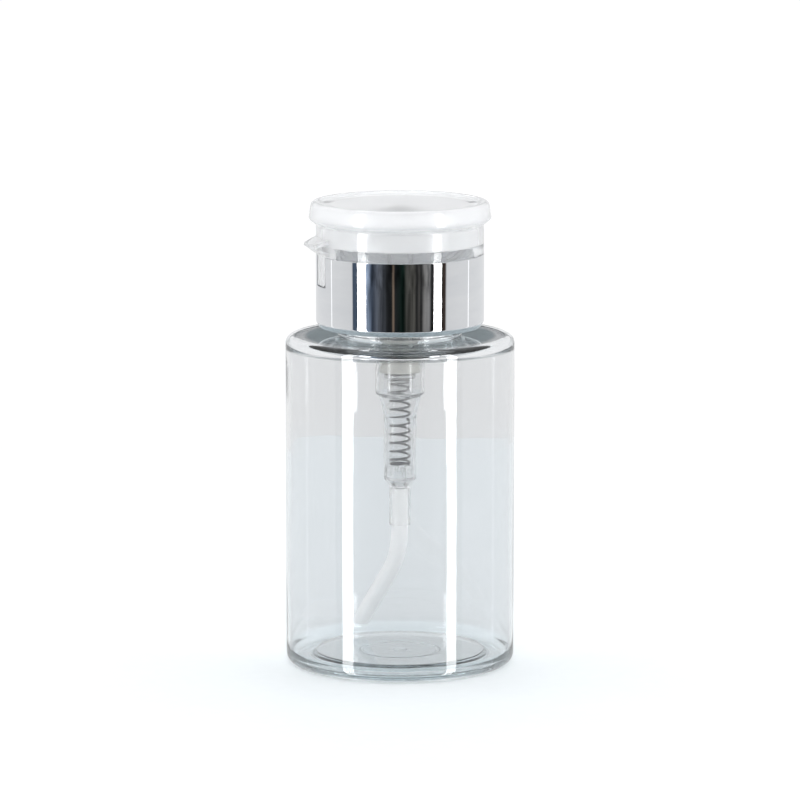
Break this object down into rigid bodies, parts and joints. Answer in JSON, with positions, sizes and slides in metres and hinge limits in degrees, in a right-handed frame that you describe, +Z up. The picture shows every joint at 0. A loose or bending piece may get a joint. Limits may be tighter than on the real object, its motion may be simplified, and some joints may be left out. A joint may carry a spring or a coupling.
{
  "type": "press-down pump bottle",
  "caption": "Clear cylindrical bottle with a spring pump that is pressed by a dish under a hinged lid, in a bright screw collar.",
  "frame": {"origin": "centre of the bottle's base, on the surface it stands on", "axes": "+Z up along the bottle's axis; the lid's hinge is on the -X side and its axis runs along Y"},
  "size_m": [0.058, 0.058, 0.1183],
  "materials": {
    "clear_bottle": "clear, glossy",
    "clear_plastic": "clear, glossy",
    "frosted_plastic": "frosted, satin",
    "natural_plastic": "translucent",
    "piston_plastic": "satin",
    "plug_plastic": "soft satin",
    "dish_plastic": "translucent, glossy",
    "tube_plastic": "translucent satin",
    "bright_collar": "mirror bright",
    "spring_steel": "drawn wire",
    "glass_ball": "polished",
    "soft_seal": "matte"
  },
  "bodies": {
    "bottle": {"bottle": "clear_bottle"},
    "pump": {"housing": "natural_plastic", "gasket": "soft_seal", "chaplet": "natural_plastic", "wiper_seal": "soft_seal", "dip_tube": "tube_plastic", "spring": "spring_steel"},
    "inlet_ball": {"inlet_ball": "glass_ball"},
    "plunger": {"dish": "dish_plastic", "outlet_nozzle": "dish_plastic", "stem": "natural_plastic", "poppet": "natural_plastic"},
    "piston": {"piston": "piston_plastic"},
    "cap": {"closure": "clear_plastic", "collar_shell": "bright_collar", "hinge_strap": "frosted_plastic"},
    "lid": {"lid": "frosted_plastic", "lid_plug": "plug_plastic"}
  },
  "joints": [
    {"name": "pump_lift", "type": "slide", "parent": "bottle", "child": "pump", "axis": [0, 0, 1], "range_m": [0, 0.0064]},
    {"name": "collar_turn", "type": "hinge", "parent": "pump", "child": "cap", "pos_m": [0, 0, 0.0977], "axis": [0, 0, 1], "range_deg": [0, 540]},
    {"name": "press", "type": "slide", "parent": "pump", "child": "plunger", "axis": [0, 0, -1], "range_m": [0, 0.005], "stiffness_N_per_m": 1100, "springref_m": -0.0035, "deforming": ["spring"]},
    {"name": "piston_float", "type": "slide", "parent": "plunger", "child": "piston", "axis": [0, 0, 1], "range_m": [0, 0.0005]},
    {"name": "ball_lift", "type": "slide", "parent": "pump", "child": "inlet_ball", "axis": [0, 0, 1], "range_m": [0, 0.0007]},
    {"name": "lid_hinge", "type": "hinge", "parent": "cap", "child": "lid", "pos_m": [-0.024, 0, 0.1077], "axis": [0, -1, 0], "range_deg": [0, 170]}
  ],
  "couplings": [
    {"joint": "pump_lift", "follows": "collar_turn", "m_per_rad": 0.00067376}
  ]
}
